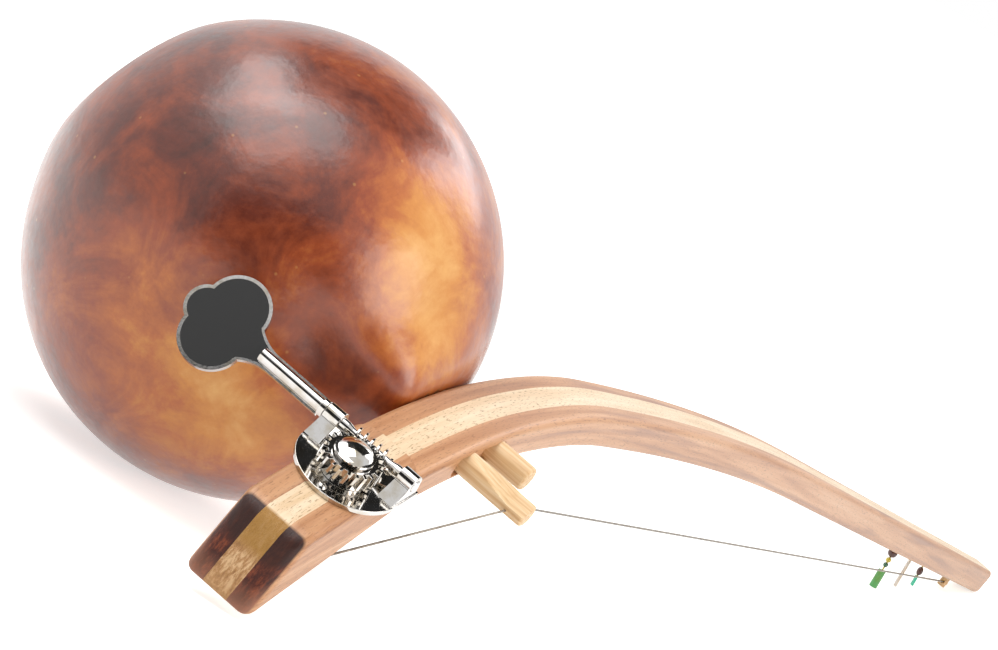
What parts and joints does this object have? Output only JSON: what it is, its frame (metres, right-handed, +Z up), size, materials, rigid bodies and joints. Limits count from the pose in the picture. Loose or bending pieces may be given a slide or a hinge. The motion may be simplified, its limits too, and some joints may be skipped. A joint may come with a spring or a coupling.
{
  "type": "musical bow",
  "caption": "Laminated wooden musical bow with a hollow gourd on its side, one steel string, two dowels, a geared tuner with a cloverleaf key, and small bead tassels.",
  "frame": {"origin": "centre of the bow's footprint, on the table that it rests on", "axes": "+X along the bow to its thin tip, +Y to the side that the gourd and the key are on, +Z up"},
  "size_m": [1.1546, 0.2206, 0.168],
  "materials": {
    "walnut": "oiled walnut with grey and purple streaks, dark end grain",
    "pale_wood": "oiled pale hardwood with fine dark pores, torn end grain",
    "dowel_wood": "bare pale hardwood dowel",
    "gourd": "varnished gourd, mottled amber and dark red-brown",
    "chrome": "bright chrome",
    "black_lacquer": "glossy black",
    "string_steel": "plain steel wire, slightly dull",
    "brass": "brass bush",
    "thread": "waxed thread, olive yellow",
    "bead_brown": "dark red-brown wooden beads",
    "bead_yellow": "yellow glass-like bead",
    "bead_green": "dark green bead",
    "soft_green": "soft green tube, olive at the top",
    "soft_teal": "teal strip",
    "soft_pale": "pale translucent strip with a golden end"
  },
  "bodies": {
    "bow": {"bow_core": "pale_wood", "bow_side_gourd": "walnut", "bow_side_peg": "walnut", "gourd_shell": "gourd", "string_peg": "dowel_wood", "rest_peg": "dowel_wood", "string_peg_collar": "dowel_wood", "rest_peg_collar": "dowel_wood", "lock_pins": "dowel_wood", "tuner_plate": "chrome", "tuner_screws": "chrome", "post_ferrule": "brass", "bow_string": "string_steel", "string_anchor": "dowel_wood", "string_ball": "brass", "tassel_threads": "thread", "tassel_wood_beads": "bead_brown", "tassel_yellow_bead": "bead_yellow", "tassel_green_bead": "bead_green", "tassel_tube": "soft_green", "tassel_teal_strip": "soft_teal", "tassel_pale_strip": "soft_pale"},
    "key": {"worm_shaft": "chrome", "worm_collar": "chrome", "tuner_key": "chrome", "key_inlay_front": "black_lacquer", "key_inlay_back": "black_lacquer"},
    "post": {"tuner_gear": "chrome", "gear_cap": "chrome", "tuner_post": "chrome", "string_winding": "string_steel"}
  },
  "joints": [
    {"name": "key_turn", "type": "hinge", "parent": "bow", "child": "key", "pos_m": [-0.52984, -0.06727, 0.0642], "axis": [0.0065, 0.9902, 0.1394], "continuous": true},
    {"name": "post_turn", "type": "hinge", "parent": "bow", "child": "post", "pos_m": [-0.5381, -0.06556, 0.05242], "axis": [-0.4442, -0.122, 0.8876], "continuous": true}
  ],
  "couplings": [
    {"joint": "post_turn", "follows": "key_turn", "ratio": -0.045455}
  ]
}
